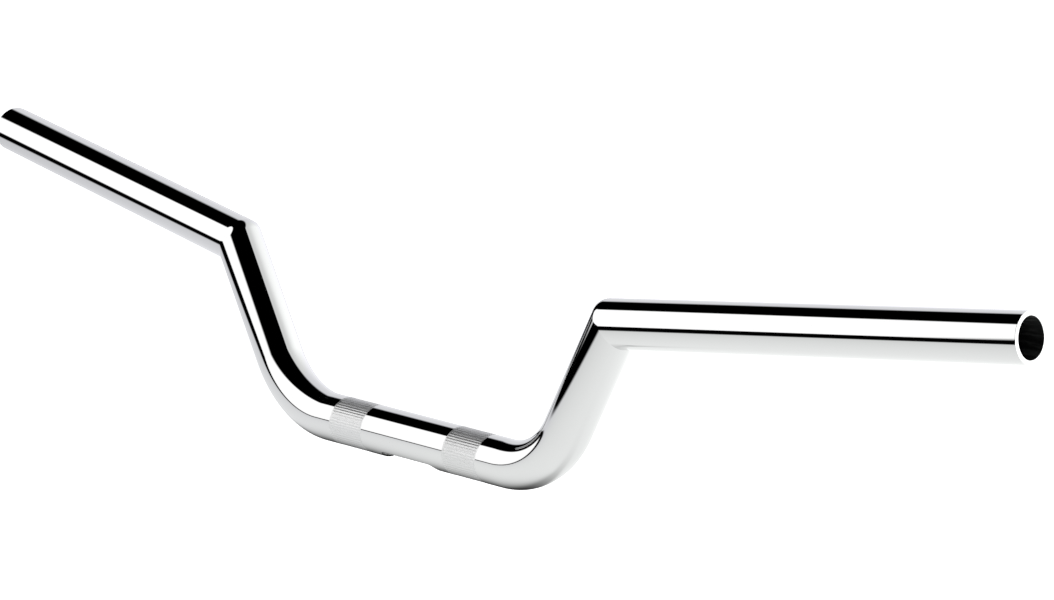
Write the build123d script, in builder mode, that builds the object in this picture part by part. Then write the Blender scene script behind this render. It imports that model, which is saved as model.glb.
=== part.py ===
"""Motorcycle handlebar with soft lower bends and sharp mitred upper corners.

One bent tube carries the clamp bands, the lower bends and the risers. A straight grip tube is
butt welded to each riser on a mitre.

Frame: +X along the bar, +Y back towards the rider, +Z up. The origin is on the tube's
centreline, midway between the two clamp bands.
"""

import os
from math import cos, radians, sin, sqrt

from build123d import *

# Driving dimensions, in millimetres and degrees
tube_diameter = 25.4
tube_wall = 2.54
clamp_straight = 137.0  # straight stretch between the two lower bends
bend_radius = 50.8  # of the centreline
bend_angle = 60.5
riser_length = 67.0  # from the end of the bend to the mitre point
grip_length = 245.0  # from the mitre point to the bar end
grip_sweep = 6.5  # the grips lean back towards +Y
grip_rise = 6.5  # and climb outwards
weld_width = 7.0  # across the mitre
end_chamfer = 0.15

clamp_spacing = 88.9  # between the centres of the two knurled clamp bands
knurl_width = 25.4
knurl_rows = 18
knurl_groove_width = 0.4
knurl_edge_groove_width = 0.7  # the groove that ends each band

slot_length = 42.0  # wiring slot in the underside
slot_width = 18.0
slot_corner_radius = 4.0

# Derived geometry of the right half
tube_radius = tube_diameter / 2
bore_radius = tube_radius - tube_wall
half_straight = clamp_straight / 2
bend_turn = radians(bend_angle)
sweep_turn = radians(grip_sweep)
rise_turn = radians(grip_rise)

riser_direction = Vector(cos(bend_turn), 0, sin(bend_turn))
riser_start = Vector(
    half_straight + bend_radius * sin(bend_turn), 0, bend_radius * (1 - cos(bend_turn))
)
mitre_point = riser_start + riser_direction * riser_length
grip_direction = Vector(
    cos(sweep_turn) * cos(rise_turn), sin(sweep_turn) * cos(rise_turn), sin(rise_turn)
)
mitre_normal = (riser_direction + grip_direction).normalized()
half_weld = mitre_normal * (weld_width / 2)

mitre_plane = Plane(origin=mitre_point, z_dir=mitre_normal)
riser_cut = Plane(origin=mitre_point - half_weld, z_dir=mitre_normal)
grip_cut = Plane(origin=mitre_point + half_weld, z_dir=mitre_normal)

bend_start = Plane.YZ.offset(half_straight)
bend_axis = Axis((half_straight, 0, bend_radius), (0, -1, 0))
riser_plane = Plane(origin=riser_start, z_dir=riser_direction)
# The straight tubes are drawn past the mitre by one radius, and then cut back to it
grip_plane = Plane(origin=mitre_point - grip_direction * tube_radius, z_dir=grip_direction)
riser_blank = riser_length + tube_radius
grip_blank = grip_length + tube_radius


def tube_section(plane):
    """The tube's ring-shaped cross-section on a plane."""
    with BuildSketch(plane) as section:
        Circle(tube_radius)
        Circle(bore_radius, mode=Mode.SUBTRACT)
    return section.sketch


def tube_between(plane, length, lower_cut, upper_cut):
    """The stretch of a straight tube that lies between two parallel cuts."""
    with BuildPart() as stretch:
        extrude(tube_section(plane), amount=length)
        split(bisect_by=upper_cut, keep=Keep.BOTTOM)
        split(bisect_by=lower_cut, keep=Keep.TOP)
    return stretch.part


# The bent lower tube, from mitre to mitre
with BuildPart() as bent_bar_tube:
    extrude(tube_section(Plane.YZ), amount=half_straight)
    revolve(tube_section(bend_start), axis=bend_axis, revolution_arc=bend_angle)
    extrude(tube_section(riser_plane), amount=riser_blank)
    split(bisect_by=riser_cut, keep=Keep.BOTTOM)
    mirror(about=Plane.YZ)

    # Ring grooves of the knurled bands: squares on their corners, so that each groove is a vee
    with BuildSketch(Plane.XZ) as knurl_grooves:
        with Locations((-clamp_spacing / 2, tube_radius), (clamp_spacing / 2, tube_radius)):
            with GridLocations(knurl_width / knurl_rows, 1, knurl_rows - 1, 1):
                Rectangle(knurl_groove_width / sqrt(2), knurl_groove_width / sqrt(2), rotation=45)
            with GridLocations(knurl_width, 1, 2, 1):
                Rectangle(
                    knurl_edge_groove_width / sqrt(2),
                    knurl_edge_groove_width / sqrt(2),
                    rotation=45,
                )
    revolve(axis=Axis.X, mode=Mode.SUBTRACT)

    # Wiring slot through the lower wall, on the bar's middle
    with BuildSketch(Plane.XY.offset(-tube_diameter)) as wiring_slot:
        RectangleRounded(slot_length, slot_width, slot_corner_radius)
    extrude(amount=tube_diameter, mode=Mode.SUBTRACT)

# The straight grip tubes, mitred at the riser and square at the bar end
with BuildPart() as right_grip_tube:
    extrude(tube_section(grip_plane), amount=grip_blank)
    split(bisect_by=grip_cut, keep=Keep.TOP)
    bar_end = faces().sort_by(Axis(mitre_point, grip_direction))[-1]
    chamfer(bar_end.edges(), length=end_chamfer)

with BuildPart() as left_grip_tube:
    mirror(right_grip_tube.part, about=Plane.YZ)

# The corner welds fill the gap between a riser and its grip tube, ground flush with both
with BuildPart() as right_mitre_weld:
    add(tube_between(riser_plane, riser_blank + tube_radius, riser_cut, mitre_plane))
    add(tube_between(grip_plane, grip_blank, mitre_plane, grip_cut))

with BuildPart() as left_mitre_weld:
    mirror(right_mitre_weld.part, about=Plane.YZ)

pieces = {
    "bent_bar_tube": bent_bar_tube,
    "left_grip_tube": left_grip_tube,
    "right_grip_tube": right_grip_tube,
    "left_mitre_weld": left_mitre_weld,
    "right_mitre_weld": right_mitre_weld,
}

os.makedirs("parts", exist_ok=True)
for name, piece in pieces.items():
    piece.part.label = name
    export_step(piece.part, f"parts/{name}.step")
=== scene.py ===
"""The looks of a chrome-plated motorcycle handlebar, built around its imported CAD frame.

Finer skins of the same size stand for the five CAD nodes. The right half is built in mesh code and then
mirrored. Lengths are in metres and angles in radians. +X is the rider's right and +Z is up.
"""

from math import acos, cos, pi, radians, sin, tan
from typing import NamedTuple

import bpy
import numpy as np
from mathutils import Matrix, Vector


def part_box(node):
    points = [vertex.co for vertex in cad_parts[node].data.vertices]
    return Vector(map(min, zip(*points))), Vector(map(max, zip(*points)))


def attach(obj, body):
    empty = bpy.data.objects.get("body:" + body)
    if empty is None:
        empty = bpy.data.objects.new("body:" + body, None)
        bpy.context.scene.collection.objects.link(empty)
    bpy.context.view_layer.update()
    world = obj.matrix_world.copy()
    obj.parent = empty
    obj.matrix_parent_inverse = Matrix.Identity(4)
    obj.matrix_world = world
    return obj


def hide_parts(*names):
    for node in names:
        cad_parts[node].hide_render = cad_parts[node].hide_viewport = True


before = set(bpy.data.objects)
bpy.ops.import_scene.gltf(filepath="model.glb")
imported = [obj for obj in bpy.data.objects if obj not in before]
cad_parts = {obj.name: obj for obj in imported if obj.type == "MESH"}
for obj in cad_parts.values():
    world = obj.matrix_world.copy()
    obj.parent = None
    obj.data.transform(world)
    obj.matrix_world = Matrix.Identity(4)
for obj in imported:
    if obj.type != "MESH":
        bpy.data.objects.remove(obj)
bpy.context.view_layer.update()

# Driving dimensions of the bar
TUBE_RADIUS = (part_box("bent_bar_tube")[1][1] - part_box("bent_bar_tube")[0][1]) / 2
BORE_RADIUS = 0.01016
HALF_STRAIGHT = 0.0685  # half of the clamp section
BEND_RADIUS = 0.0508
BEND_ANGLE = radians(60.5)
RISER_LENGTH = 0.067  # end of the bend to the mitre point
GRIP_LENGTH = 0.245  # mitre point to the bar end
GRIP_SWEEP = radians(6.5)
GRIP_RISE = radians(6.5)
WELD_WIDTH = 0.007  # across the mitre
CREASE = 0.0002  # rounding of the crisp part of the mitre
END_CHAMFER = 0.00015

BAND_CENTRE = 0.04445
BAND_WIDTH = 0.0254
TEETH_AROUND = 54
TEETH_ALONG = 18
TOOTH_SLOPE = 0.3  # the steepest slope on a tooth, each way

SLOT_HALF_LENGTH = 0.021
SLOT_HALF_WIDTH = 0.009
SLOT_CORNER = 0.004
SLOT_EDGE = 0.0009  # rounding of the slot's outer edge

# Mesh density
PER_TOOTH = 4
AROUND = TEETH_AROUND * PER_TOOTH
SIDE_STEPS, CORNER_STEPS, END_STEPS = 8, 14, 68  # half of a side of the slot, a corner and an end
PATCH_HALF_LENGTH = 0.026  # the patch of mesh that has the slot in it
PATCH_STEPS = 12
PATCH_CROWDING = 1.3  # above 1, the patch's steps crowd towards the slot
MERGE_DECIMALS = 7  # corners that are the same to this many decimals share a vertex

CHROME, BARE_STEEL, KNURLED, MILLED = range(4)


class Side(NamedTuple):
    """The outside of a tube, or its bore."""

    radius: float
    material: int
    inside: bool
    sector_teeth: int  # how many teeth the slot's patch reaches up each side of the tube

    def facing(self, out):
        """The surface's normals, where out points away from the tube's centre line."""
        return -out if self.inside else out


OUTSIDE = Side(TUBE_RADIUS, CHROME, inside=False, sector_teeth=9)
BORE = Side(BORE_RADIUS, BARE_STEEL, inside=True, sector_teeth=11)


# ---------------------------------------------------------------- geometry of the right half


def unit(v):
    return v / np.linalg.norm(v)


AXIS_X, AXIS_Y, AXIS_Z = np.eye(3)
RISER_DIRECTION = cos(BEND_ANGLE) * AXIS_X + sin(BEND_ANGLE) * AXIS_Z
GRIP_DIRECTION = np.array(
    [cos(GRIP_SWEEP) * cos(GRIP_RISE), sin(GRIP_SWEEP) * cos(GRIP_RISE), sin(GRIP_RISE)]
)


def bend_frame(turn):
    """The tube's centre and its inward normal, at an angle along the bend."""
    centre = (HALF_STRAIGHT + BEND_RADIUS * sin(turn)) * AXIS_X + BEND_RADIUS * (1 - cos(turn)) * AXIS_Z
    inward = -sin(turn) * AXIS_X + cos(turn) * AXIS_Z
    return centre, inward


RISER_START, RISER_INWARD = bend_frame(BEND_ANGLE)
MITRE_POINT = RISER_START + RISER_LENGTH * RISER_DIRECTION
MITRE_NORMAL = unit(RISER_DIRECTION + GRIP_DIRECTION)
CORNER_TURN = acos(RISER_DIRECTION @ GRIP_DIRECTION)
# The weld is ground to a round corner that is tangent to both tubes at its edges
CORNER_RADIUS = WELD_WIDTH / 2 / sin(CORNER_TURN / 2)
CORNER_REACH = CORNER_RADIUS * tan(CORNER_TURN / 2)


def radial(inward, theta):
    """Unit vectors out of the tube at each angle, where inward is away from the underside."""
    return -np.outer(np.cos(theta), inward) + np.outer(np.sin(theta), AXIS_Y)


# Angles round the tube, from the underside
THETA = np.arange(AROUND) * 2 * pi / AROUND
CLAMP_RADIAL = radial(AXIS_Z, THETA)
RISER_RADIAL = radial(RISER_INWARD, THETA)
# The grip tube is the riser's mirror image in the mitre plane
GRIP_RADIAL = RISER_RADIAL - 2 * np.outer(RISER_RADIAL @ MITRE_NORMAL, MITRE_NORMAL)


def mitre_line(radius):
    """Where each lengthwise line of a tube of this radius meets the mitre plane."""
    run = -radius * (RISER_RADIAL @ MITRE_NORMAL) / (RISER_DIRECTION @ MITRE_NORMAL)
    return MITRE_POINT + radius * RISER_RADIAL + np.outer(run, RISER_DIRECTION)


def places(start, end, steps):
    """Evenly spaced values from start to end, both included."""
    return np.linspace(start, end, steps + 1)


# ---------------------------------------------------------------- meshes from grids of points


def new_object(name, data):
    """An object in the scene that holds this mesh or camera."""
    item = bpy.data.objects.new(name, data)
    bpy.context.scene.collection.objects.link(item)
    return item


class Skin:
    """Grids of points with their normals, joined into one closed mesh."""

    def __init__(self):
        self.points, self.normals, self.faces, self.materials = [], [], [], []
        self.count = 0

    def grid(self, points, normals, material=CHROME, wrap=True, flip=False):
        """One patch of rows by columns. wrap joins the last column to the first."""
        points, normals = np.asarray(points), np.asarray(normals)
        row_count, columns = points.shape[:2]
        index = self.count + np.arange(row_count * columns).reshape(row_count, columns)
        here = np.arange(columns if wrap else columns - 1)
        there = (here + 1) % columns
        low, high = index[:-1], index[1:]
        quads = np.stack([low[:, here], low[:, there], high[:, there], high[:, here]], axis=-1).reshape(-1, 4)
        if flip:
            quads = quads[:, ::-1]
        self.points.append(points.reshape(-1, 3))
        self.normals.append(normals.reshape(-1, 3))
        self.faces.append(quads)
        self.materials.append(np.full(len(quads), material))
        self.count += row_count * columns

    def tube(self, side, start, end, out, steps, wrap=True):
        """A straight stretch of tube from one ring to another, where out points away from its centre line."""
        points = [start + (end - start) * share for share in places(0, 1, steps)]
        self.grid(points, [side.facing(out)] * (steps + 1), side.material, wrap, flip=side.inside)

    def ring_face(self, outer, bore, normal, flip=False):
        """A flat ring between the outside of a tube and its bore."""
        normals = np.tile(normal, (len(outer), 1))
        self.grid([outer, bore], [normals, normals], flip=flip)

    def mirrored(self):
        """The same skin on the other side of the YZ plane."""
        other = Skin()
        flip = np.array([-1.0, 1.0, 1.0])
        other.points = [p * flip for p in self.points]
        other.normals = [n * flip for n in self.normals]
        other.faces = [f[:, ::-1] for f in self.faces]
        other.materials = list(self.materials)
        other.count = self.count
        return other

    def add(self, other):
        self.points += other.points
        self.normals += other.normals
        self.faces += [f + self.count for f in other.faces]
        self.materials += other.materials
        self.count += other.count

    def to_object(self, name, materials):
        """A mesh object with shared vertices and each patch's own normals."""
        points = np.concatenate(self.points)
        normals = np.concatenate(self.normals)
        faces = np.concatenate(self.faces)
        material = np.concatenate(self.materials)
        _, first, shared = np.unique(
            np.round(points, MERGE_DECIMALS), axis=0, return_index=True, return_inverse=True
        )
        joined = shared.reshape(-1)[faces]
        # a face that closes to a line or a point is dropped
        distinct = np.array([len(set(f)) == 4 for f in joined.tolist()])
        mesh = bpy.data.meshes.new(name)
        mesh.from_pydata(points[first].tolist(), [], joined[distinct].tolist())
        mesh.polygons.foreach_set("use_smooth", np.ones(len(mesh.polygons), bool))
        mesh.polygons.foreach_set("material_index", material[distinct].astype(np.int32))
        corner_normals = normals[faces[distinct].reshape(-1)]
        corner_normals /= np.linalg.norm(corner_normals, axis=1, keepdims=True)
        mesh.normals_split_custom_set(corner_normals.tolist())
        for made in materials:
            mesh.materials.append(made)
        return new_object(name, mesh)


# ---------------------------------------------------------------- the bent lower tube


def clamp_stretch(skin, side, low, high, steps):
    """A whole stretch of the clamp section, between two places along X."""
    ring = side.radius * CLAMP_RADIAL
    skin.tube(side, low * AXIS_X + ring, high * AXIS_X + ring, CLAMP_RADIAL, steps)


def knurled_band(skin):
    """The square knurl: rounded teeth rolled into the tube, dying out at both ends of the band."""
    pitch = BAND_WIDTH / TEETH_ALONG
    height = TOOTH_SLOPE * pitch / (2 * pi)
    steps = np.arange(TEETH_ALONG * PER_TOOTH + 1)
    turn_along = 2 * pi * steps[:, None] / PER_TOOTH
    turn_around = TEETH_AROUND * THETA[None, :]
    fade = np.clip(np.minimum(steps, steps[-1] - steps) / PER_TOOTH, 0, 1)[:, None]
    fall = np.gradient(fade, pitch / PER_TOOTH, axis=0)
    depth = height * (2 + np.cos(turn_along) + np.cos(turn_around))
    slope_along = TOOTH_SLOPE * fade * np.sin(turn_along) - fall * depth
    slope_around = TOOTH_SLOPE * fade * np.sin(turn_around)
    x = BAND_CENTRE - BAND_WIDTH / 2 + steps * pitch / PER_TOOTH
    out = CLAMP_RADIAL[None, :, :]
    around = np.roll(out, -AROUND // 4, axis=1)
    points = x[:, None, None] * AXIS_X + (TUBE_RADIUS - fade * depth)[:, :, None] * out
    normals = out - slope_along[:, :, None] * AXIS_X - slope_around[:, :, None] * around
    skin.grid(points, normals, KNURLED)


def slot_outline(grow):
    """Half of the slot's outline seen from below, with its outward normals, grown by a distance."""
    corner_x, corner_y = SLOT_HALF_LENGTH - SLOT_CORNER, SLOT_HALF_WIDTH - SLOT_CORNER
    r = SLOT_CORNER + grow
    turns = places(0, pi / 2, CORNER_STEPS)[1:]
    points = [(x, -corner_y - r) for x in places(0, corner_x, SIDE_STEPS)]
    normals = [(0.0, -1.0)] * len(points)
    points += [(corner_x + r * sin(t), -corner_y - r * cos(t)) for t in turns]
    normals += [(sin(t), -cos(t)) for t in turns]
    points += [(corner_x + r, y) for y in places(-corner_y, 0, END_STEPS // 2)[1:]]
    normals += [(1.0, 0.0)] * (END_STEPS // 2)
    points, normals = np.array(points), np.array(normals)
    flip = np.array([1.0, -1.0])
    return (
        np.concatenate([points, points[-2::-1] * flip]),
        np.concatenate([normals, normals[-2::-1] * flip]),
    )


def slotted_stretch(skin, side, grow):
    """The middle of the clamp section with half the slot in it: a patch round the slot, and the rest."""
    outline, _ = slot_outline(grow)
    hole_x, hole_angle = outline[:, 0], np.arcsin(outline[:, 1] / side.radius)
    # The patch's rim has as many points as the slot's outline
    across = side.sector_teeth * PER_TOOTH
    along = len(outline) // 2 - across
    angles = np.concatenate([THETA[-across:] - 2 * pi, THETA[: across + 1]])
    xs = places(0, PATCH_HALF_LENGTH, along)
    rim_x = np.concatenate([xs[:-1], np.full(len(angles), PATCH_HALF_LENGTH), xs[-2::-1]])
    rim_angle = np.concatenate([np.full(along, angles[0]), angles, np.full(along, angles[-1])])
    points, normals = [], []
    for share in places(0, 1, PATCH_STEPS) ** PATCH_CROWDING:
        x = hole_x + (rim_x - hole_x) * share
        out = radial(AXIS_Z, hole_angle + (rim_angle - hole_angle) * share)
        points.append(np.outer(x, AXIS_X) + side.radius * out)
        normals.append(side.facing(out))
    skin.grid(points, normals, side.material, wrap=False, flip=side.inside)
    out = CLAMP_RADIAL[across : AROUND - across + 1]
    ring = side.radius * out
    skin.tube(side, ring, ring + PATCH_HALF_LENGTH * AXIS_X, out, along, wrap=False)


def slot_wall(skin, edge_steps=5, wall_steps=4):
    """The slot's rounded outer edge, and its wall through the tube."""
    rings, normals = [], []
    for turn in places(0, pi / 2, edge_steps):
        outline, sideways = slot_outline(SLOT_EDGE * (1 - sin(turn)))
        x, y = outline.T
        z = -np.sqrt(TUBE_RADIUS**2 - y**2) + SLOT_EDGE * (1 - cos(turn))
        rings.append(np.stack([x, y, z], axis=1))
        out = np.stack([0 * y, y / TUBE_RADIUS, -np.sqrt(1 - (y / TUBE_RADIUS) ** 2)], axis=1)
        inwards = np.c_[-sideways, np.zeros(len(y))]
        normals.append(cos(turn) * out + sin(turn) * inwards)
    skin.grid(rings, normals, wrap=False, flip=True)
    top = np.stack([x, y, -np.sqrt(BORE_RADIUS**2 - y**2)], axis=1)
    wall = [rings[-1] + (top - rings[-1]) * share for share in places(0, 1, wall_steps)]
    skin.grid(wall, [inwards] * len(wall), MILLED, wrap=False, flip=True)


def bend_rings(skin, side, steps):
    """The lower bend."""
    points, normals = [], []
    for turn in places(0, BEND_ANGLE, steps):
        centre, inward = bend_frame(turn)
        out = radial(inward, THETA)
        points.append(centre + side.radius * out)
        normals.append(side.facing(out))
    skin.grid(points, normals, side.material, flip=side.inside)


def riser_rings(skin, side, steps=4):
    """The riser, square at the bend and cut parallel to the mitre at the weld."""
    start = RISER_START + side.radius * RISER_RADIAL
    end = mitre_line(side.radius) - CORNER_REACH * RISER_DIRECTION
    skin.tube(side, start, end, RISER_RADIAL, steps)
    return end


def bent_tube_skin():
    half = Skin()
    slotted_stretch(half, OUTSIDE, SLOT_EDGE)
    clamp_stretch(half, OUTSIDE, PATCH_HALF_LENGTH, BAND_CENTRE - BAND_WIDTH / 2, steps=4)
    knurled_band(half)
    clamp_stretch(half, OUTSIDE, BAND_CENTRE + BAND_WIDTH / 2, HALF_STRAIGHT, steps=4)
    bend_rings(half, OUTSIDE, steps=48)
    outer = riser_rings(half, OUTSIDE)
    slot_wall(half)
    slotted_stretch(half, BORE, 0.0)
    clamp_stretch(half, BORE, PATCH_HALF_LENGTH, HALF_STRAIGHT, steps=8)
    bend_rings(half, BORE, steps=24)
    bore = riser_rings(half, BORE)
    half.ring_face(outer, bore, MITRE_NORMAL)
    whole = Skin()
    whole.add(half)
    whole.add(half.mirrored())
    return whole


# ---------------------------------------------------------------- the grip tubes and the welds


def grip_tube_skin(steps=24):
    skin = Skin()
    end_centre = MITRE_POINT + GRIP_LENGTH * GRIP_DIRECTION
    starts, rims = [], []
    for side in (OUTSIDE, BORE):
        start = mitre_line(side.radius) + CORNER_REACH * GRIP_DIRECTION
        end = end_centre - END_CHAMFER * GRIP_DIRECTION + side.radius * GRIP_RADIAL
        skin.tube(side, start, end, GRIP_RADIAL, steps)
        rim = end_centre + side.radius * GRIP_RADIAL - END_CHAMFER * side.facing(GRIP_RADIAL)
        slope = side.facing(GRIP_RADIAL) + GRIP_DIRECTION
        skin.grid([end, rim], [slope, slope], flip=side.inside)
        starts.append(start)
        rims.append(rim)
    skin.ring_face(*rims, GRIP_DIRECTION)
    skin.ring_face(*starts, -MITRE_NORMAL, flip=True)
    return skin


def weld_skin(steps=16):
    """The weld is ground round on the outside of the corner and left crisp in its crook."""
    skin = Skin()
    ridge, inner_ridge = mitre_line(TUBE_RADIUS), mitre_line(BORE_RADIUS)
    bisector = unit(RISER_DIRECTION - GRIP_DIRECTION)
    outwardness = (RISER_RADIAL @ bisector) / cos(CORNER_TURN / 2)
    # How far from the mitre each lengthwise line starts to turn
    reach = CREASE + (CORNER_REACH - 2 * CREASE) * np.clip(outwardness, 0, 1)
    radius = (reach / tan(CORNER_TURN / 2))[:, None]
    points = [ridge - CORNER_REACH * RISER_DIRECTION]
    normals = [RISER_RADIAL]
    for share in places(0, 1, steps):
        turn = CORNER_TURN * (share - 0.5)
        spoke = cos(turn) * bisector + sin(turn) * MITRE_NORMAL
        points.append(ridge + radius * (spoke - bisector / cos(CORNER_TURN / 2)))
        normals.append(RISER_RADIAL * (1 - share) + GRIP_RADIAL * share)
    points.append(ridge + CORNER_REACH * GRIP_DIRECTION)
    normals.append(GRIP_RADIAL)
    skin.grid(points, normals)
    low = inner_ridge - CORNER_REACH * RISER_DIRECTION
    high = inner_ridge + CORNER_REACH * GRIP_DIRECTION
    skin.tube(BORE, low, inner_ridge, RISER_RADIAL, steps=1)
    skin.tube(BORE, inner_ridge, high, GRIP_RADIAL, steps=1)
    skin.ring_face(points[0], low, -MITRE_NORMAL, flip=True)
    skin.ring_face(points[-1], high, MITRE_NORMAL)
    return skin


# ---------------------------------------------------------------- node materials


class Nodes:
    """Short names for the shader nodes that this script uses."""

    def __init__(self, tree):
        self.tree = tree
        tree.nodes.clear()

    def new(self, kind, inputs=(), **settings):
        node = self.tree.nodes.new(kind)
        for key, value in settings.items():
            setattr(node, key, value)
        for key, value in dict(inputs).items():
            self.plug(node.inputs[key], value)
        return node

    def plug(self, socket, value):
        if isinstance(value, bpy.types.NodeSocket):
            self.tree.links.new(value, socket)
        else:
            socket.default_value = value

    def math(self, operation, a, b=0.0):
        return self.new("ShaderNodeMath", {0: a, 1: b}, operation=operation).outputs[0]

    def product(self, first, *others):
        for other in others:
            first = self.math("MULTIPLY", first, other)
        return first

    def square_sum(self, a, b):
        return self.math("ADD", self.math("MULTIPLY", a, a), self.math("MULTIPLY", b, b))

    def step(self, value, start, end, low=0.0, high=1.0):
        """A smooth change from low to high as value goes from start to end."""
        inputs = {"Value": value, "From Min": start, "From Max": end, "To Min": low, "To Max": high}
        return self.new("ShaderNodeMapRange", inputs, interpolation_type="SMOOTHSTEP").outputs[0]

    def spot(self, u, v, centre, spread):
        """A round soft spot, 1 in its middle."""
        du, dv = self.math("SUBTRACT", u, centre[0]), self.math("SUBTRACT", v, centre[1])
        return self.math("EXPONENT", self.math("DIVIDE", self.square_sum(du, dv), -2 * spread**2))

    def noise(self, place, scale, detail):
        inputs = {"Vector": place, "Scale": scale, "Detail": detail}
        return self.new("ShaderNodeTexNoise", inputs).outputs["Fac"]

    def mix(self, share, first, second):
        """A colour between two others."""
        node = self.new("ShaderNodeMix", {"Factor": share}, data_type="RGBA")
        self.plug(node.inputs[6], first)
        self.plug(node.inputs[7], second)
        return node.outputs[2]

    def surface(self, shader):
        self.new("ShaderNodeOutputMaterial", {"Surface": shader.outputs[0]})


def new_material(name):
    """A material and its empty node tree."""
    material = bpy.data.materials.new(name)
    material.use_nodes = True
    return material, Nodes(material.node_tree)


def chrome_material(name, smoothest, dullest):
    """Decorative chrome: a mirror with the faintest polishing marks, or a duller plated surface."""
    material, n = new_material(name)
    place = n.new("ShaderNodeTexCoord").outputs["Object"]
    haze = n.noise(place, 35.0, 4.0)
    polish = {"Strength": 0.02, "Distance": 0.00002, "Height": n.noise(place, 900.0, 2.0)}
    look = {
        "Base Color": (0.675, 0.675, 0.675, 1.0),
        "Metallic": 1.0,
        "Roughness": n.step(haze, 0.3, 0.75, smoothest, dullest),
        "Normal": n.new("ShaderNodeBump", polish).outputs[0],
    }
    n.surface(n.new("ShaderNodeBsdfPrincipled", look))
    return material


def bare_steel_material():
    """The unplated bore: dark drawn steel with faint streaks along the tube."""
    material, n = new_material("bare_bore")
    place = n.new("ShaderNodeTexCoord").outputs["Object"]
    grime = n.noise(place, 120.0, 5.0)
    stretch = n.new("ShaderNodeMapping", {"Vector": place, "Scale": (9.0, 430.0, 430.0)}).outputs[0]
    streaks = n.noise(stretch, 1.0, 3.0)
    worn = n.product(n.step(streaks, 0.42, 0.66), n.step(grime, 0.25, 0.6))
    look = {
        "Base Color": n.mix(worn, (0.05, 0.05, 0.05, 1.0), (0.22, 0.225, 0.22, 1.0)),
        "Metallic": 0.6,
        "Roughness": n.step(grime, 0.3, 0.7, 0.35, 0.6),
    }
    n.surface(n.new("ShaderNodeBsdfPrincipled", look))
    return material


# ---------------------------------------------------------------- the studio
# The bar lies on a white table. Chrome shows only what is round it, so the light panels are shaped by what
# they do in the reflections: a round softbox at the front left, a backdrop behind, and darkness elsewhere.

TABLE_LEVEL = -TUBE_RADIUS - 0.0001
TABLE_EDGE, TABLE_EDGE_SLOPE = -0.2336, -0.2061  # the table's front edge: y at x = 0, and its slope
TABLE_EDGE_BLUR = 0.0295
TABLE_TONE, TABLE_SPOT_TONE = 0.786, 0.70  # all over, and added in the bright spot at the back
TABLE_SPOT, TABLE_SPOT_SPREAD = (0.162, 0.403), 0.364
# The table's glow has a painted shadow under the bar: a dark strip worked out from where the bar lies, not
# cast by it
SHADE_HALF_WIDTH, SHADE_LEAST = 0.0094, 0.004  # the dark strip under the bar, where it touches and lifts off
SHADE_NARROWING = 0.35  # how fast the strip narrows as the bar lifts off
SHADE_FADING = 0.0103  # how far the bar has lifted off where the strip is half as dark

SOFTBOX_AZIMUTH, SOFTBOX_DISTANCE = radians(-24.36), 0.888
SOFTBOX_SIDEWAYS, SOFTBOX_HEIGHT, SOFTBOX_RADIUS = -0.4455, 0.462, 0.822
SOFTBOX_BLUR = 0.064
SOFTBOX_FOOT = (-0.0466, 0.0184)  # the heights between which it fades in
SOFTBOX_STRENGTH = 1.5

BACKDROP_AZIMUTH, BACKDROP_DISTANCE = radians(179.0), 1.04
BACKDROP_TOP, BACKDROP_TILT = 2.53, -0.464
BACKDROP_BLUR = 0.448
BACKDROP_TONE, BACKDROP_SPOT_TONE = 0.909, 4.38
BACKDROP_SPOT, BACKDROP_SPOT_SPREAD = (-1.10, -1.34), 1.006
BACKDROP_RIGHT, BACKDROP_LEFT = (-13.1, -10.7), (6.74, 6.10)  # where it fades out, in its own X

WHITE, GREENISH, BLUISH = (1.0, 1.0, 1.0, 1.0), (0.985, 1.0, 0.993, 1.0), (0.985, 0.993, 1.03, 1.0)
FLOOR_LEVEL, FLOOR_HALF = -0.35, 15.0


def heading(azimuth, elevation=0.0):
    """A direction from the object: azimuth 0 is -Y and 90 degrees is +X."""
    level = cos(elevation)
    return Vector((sin(azimuth) * level, -cos(azimuth) * level, sin(elevation)))


def flat_piece(name, placing, left, right, bottom, top):
    """A rectangle of the stage, in the plane of its own X and Y."""
    mesh = bpy.data.meshes.new(name)
    corners = [(left, bottom, 0), (right, bottom, 0), (right, top, 0), (left, top, 0)]
    mesh.from_pydata(corners, [], [(0, 1, 2, 3)])
    piece = new_object(name, mesh)
    piece.matrix_world = placing
    return piece


def make_glow(piece, strength, tint):
    """Light on a piece that only reflections see, its strength and tint as functions of its own X and Y."""
    piece.visible_camera = False
    material, n = new_material(piece.name)
    place = n.new("ShaderNodeSeparateXYZ", {0: n.new("ShaderNodeTexCoord").outputs["Object"]})
    u, v = place.outputs[0], place.outputs[1]
    n.surface(n.new("ShaderNodeEmission", {"Color": tint(n, u, v), "Strength": strength(n, u, v)}))
    piece.data.materials.append(material)


def level_at(height):
    return Matrix.Translation((0, 0, height))


def upright(azimuth, distance):
    """Stands a panel on its edge, facing the object, with its own X sideways and its own Y up."""
    away, sideways = heading(azimuth), heading(azimuth + pi / 2)
    turn = Matrix((sideways, Vector((0, 0, 1)), -away)).transposed()
    return Matrix.Translation(distance * away) @ turn.to_4x4()


def room_tint(n, x):
    """A trace of green in the room's light on the right, and of blue on the left."""
    return n.mix(n.step(x, 0.1, -0.4), GREENISH, BLUISH)


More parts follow.
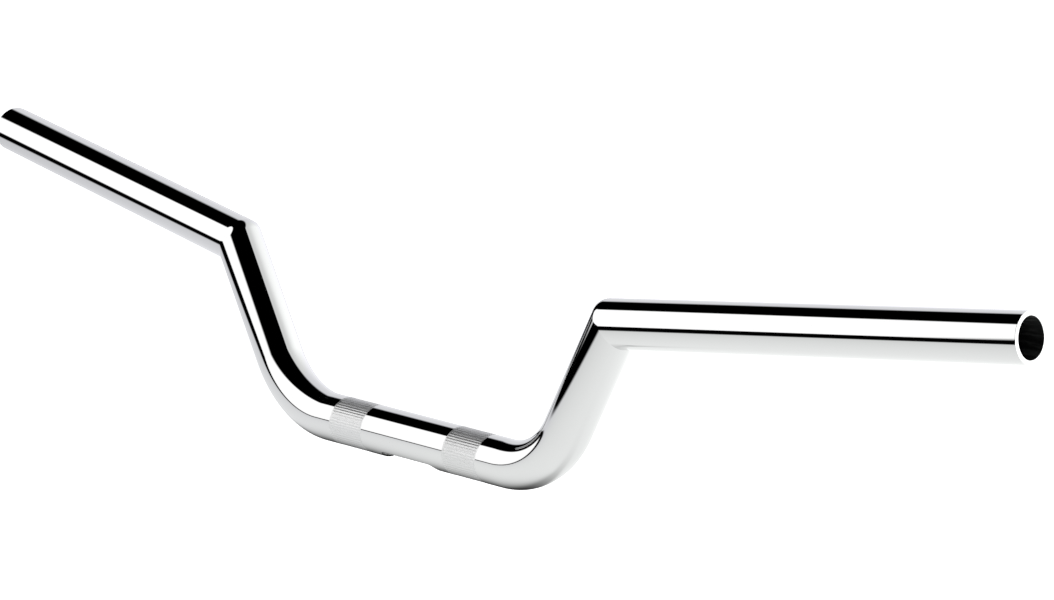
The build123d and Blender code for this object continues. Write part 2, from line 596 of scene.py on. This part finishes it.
def shade_under_bar(n, x, y):
    """Painted shade on the table's glow: how dark the table is under the bar, which lifts off it along the
    bend and then up the riser.
    """
    side = n.math("ABSOLUTE", x)
    past_bend = n.math("MAXIMUM", n.math("SUBTRACT", side, HALF_STRAIGHT), 0.0)
    on_bend = n.math("DIVIDE", n.math("MULTIPLY", past_bend, past_bend), 2 * BEND_RADIUS)
    past_foot = n.math("MAXIMUM", n.math("SUBTRACT", side, RISER_START[0]), 0.0)
    on_riser = n.math("ADD", n.math("MULTIPLY", past_foot, tan(BEND_ANGLE)), RISER_START[2])
    rise = n.math("MINIMUM", on_bend, on_riser)
    narrowed = n.math("SUBTRACT", SHADE_HALF_WIDTH, n.math("MULTIPLY", rise, SHADE_NARROWING))
    half_width = n.math("MAXIMUM", narrowed, SHADE_LEAST)
    across = n.math("POWER", n.math("DIVIDE", n.math("ABSOLUTE", y), half_width), 4.0)
    above = n.math("POWER", n.math("DIVIDE", rise, SHADE_FADING), 2.0)
    return n.math("DIVIDE", 1.0, n.math("ADD", n.math("ADD", across, above), 1.0))


def table_strength(n, x, y):
    """Brighter towards the backdrop, and dark right under the bar, where a shadow is painted into the glow.
    """
    edge = n.math("ADD", n.math("MULTIPLY", x, TABLE_EDGE_SLOPE), TABLE_EDGE)
    in_front = n.step(n.math("SUBTRACT", y, edge), -TABLE_EDGE_BLUR, TABLE_EDGE_BLUR)
    spot = n.spot(x, y, TABLE_SPOT, TABLE_SPOT_SPREAD)
    tone = n.math("ADD", n.math("MULTIPLY", spot, TABLE_SPOT_TONE), TABLE_TONE)
    return n.product(tone, in_front, n.math("SUBTRACT", 1.0, shade_under_bar(n, x, y)))


def softbox_strength(n, u, v):
    """Round, with a soft edge and its lower part hidden."""
    du, dv = n.math("SUBTRACT", u, SOFTBOX_SIDEWAYS), n.math("SUBTRACT", v, SOFTBOX_HEIGHT)
    reach = n.math("SQRT", n.square_sum(du, dv))
    disc = n.step(reach, SOFTBOX_RADIUS + SOFTBOX_BLUR, SOFTBOX_RADIUS - SOFTBOX_BLUR)
    return n.product(disc, n.step(v, *SOFTBOX_FOOT), SOFTBOX_STRENGTH)


def backdrop_strength(n, u, v):
    """Brightest low down in the middle, fading out at its sloping top and at both sides."""
    top = n.math("SUBTRACT", v, n.math("MULTIPLY", u, BACKDROP_TILT))
    below_top = n.step(top, BACKDROP_TOP + BACKDROP_BLUR, BACKDROP_TOP - BACKDROP_BLUR)
    spot = n.spot(u, v, BACKDROP_SPOT, BACKDROP_SPOT_SPREAD)
    tone = n.math("ADD", n.math("MULTIPLY", spot, BACKDROP_SPOT_TONE), BACKDROP_TONE)
    return n.product(tone, below_top, n.step(u, *BACKDROP_RIGHT), n.step(u, *BACKDROP_LEFT))


def studio():
    table = flat_piece("table", level_at(TABLE_LEVEL), -0.95, 6, -2, 1.6)
    make_glow(table, table_strength, lambda n, x, y: room_tint(n, x))
    softbox = flat_piece("softbox", upright(SOFTBOX_AZIMUTH, SOFTBOX_DISTANCE), -1.4, 0.6, -0.1, 1.4)
    make_glow(softbox, softbox_strength, lambda n, u, v: WHITE)
    backdrop = flat_piece("backdrop", upright(BACKDROP_AZIMUTH, BACKDROP_DISTANCE), -14, 8, TABLE_LEVEL, 8)
    make_glow(backdrop, backdrop_strength, lambda n, u, v: room_tint(n, n.math("MULTIPLY", u, -1.0)))


def white_surroundings():
    """The camera sees white all round; reflections see a dark room beyond the panels."""
    world = bpy.data.worlds.new("room")
    bpy.context.scene.world = world
    world.use_nodes = True
    n = Nodes(world.node_tree)
    seen = n.new("ShaderNodeLightPath").outputs["Is Camera Ray"]
    background = n.new("ShaderNodeBackground", {"Color": WHITE, "Strength": seen})
    n.new("ShaderNodeOutputWorld", {"Surface": background.outputs[0]})


def floor():
    """A plain pale floor below the table, which reflections don't see."""
    size = FLOOR_HALF
    piece = flat_piece("floor", level_at(FLOOR_LEVEL), -size, size, -size, size)
    piece.visible_glossy = False
    material, n = new_material("floor")
    look = {
        "Base Color": (0.9, 0.9, 0.9, 1.0),
        "Roughness": 0.9,
        "Emission Color": WHITE,
        "Emission Strength": 1.0,
    }
    n.surface(n.new("ShaderNodeBsdfPrincipled", look))
    piece.data.materials.append(material)


def camera():
    """A long lens from the front right, a little above the bar."""
    azimuth, elevation, distance = radians(47.46), radians(11.77), 2.1934
    right = heading(azimuth + pi / 2)
    back = heading(azimuth, elevation)
    above = back.cross(right)
    aim = 0.0557 * right + 0.0721 * above
    data = bpy.data.cameras.new("camera")
    data.sensor_width = 36.0
    data.lens = 145.1
    data.clip_start, data.clip_end = 0.1, 100.0
    item = new_object("camera", data)
    turn = Matrix((right, above, back)).transposed()
    item.matrix_world = Matrix.Translation(aim + distance * back) @ turn.to_4x4()
    bpy.context.scene.camera = item


# ---------------------------------------------------------------- put together

# In the order of CHROME, BARE_STEEL, KNURLED and MILLED
finishes = [
    chrome_material("chrome_plate", smoothest=0.018, dullest=0.045),
    bare_steel_material(),
    chrome_material("plated_knurl", smoothest=0.40, dullest=0.46),
    chrome_material("plated_slot_wall", smoothest=0.45, dullest=0.6),
]
grip, weld = grip_tube_skin(), weld_skin()
skins = {
    "bent_bar_tube": bent_tube_skin(),
    "right_grip_tube": grip,
    "left_grip_tube": grip.mirrored(),
    "right_mitre_weld": weld,
    "left_mitre_weld": weld.mirrored(),
}
for node, skin in skins.items():
    piece = skin.to_object(f"{node}_plated", finishes)
    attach(piece, "root")
    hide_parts(node)

studio()
white_surroundings()
floor()
camera()
bpy.context.scene.view_settings.view_transform = "Standard"
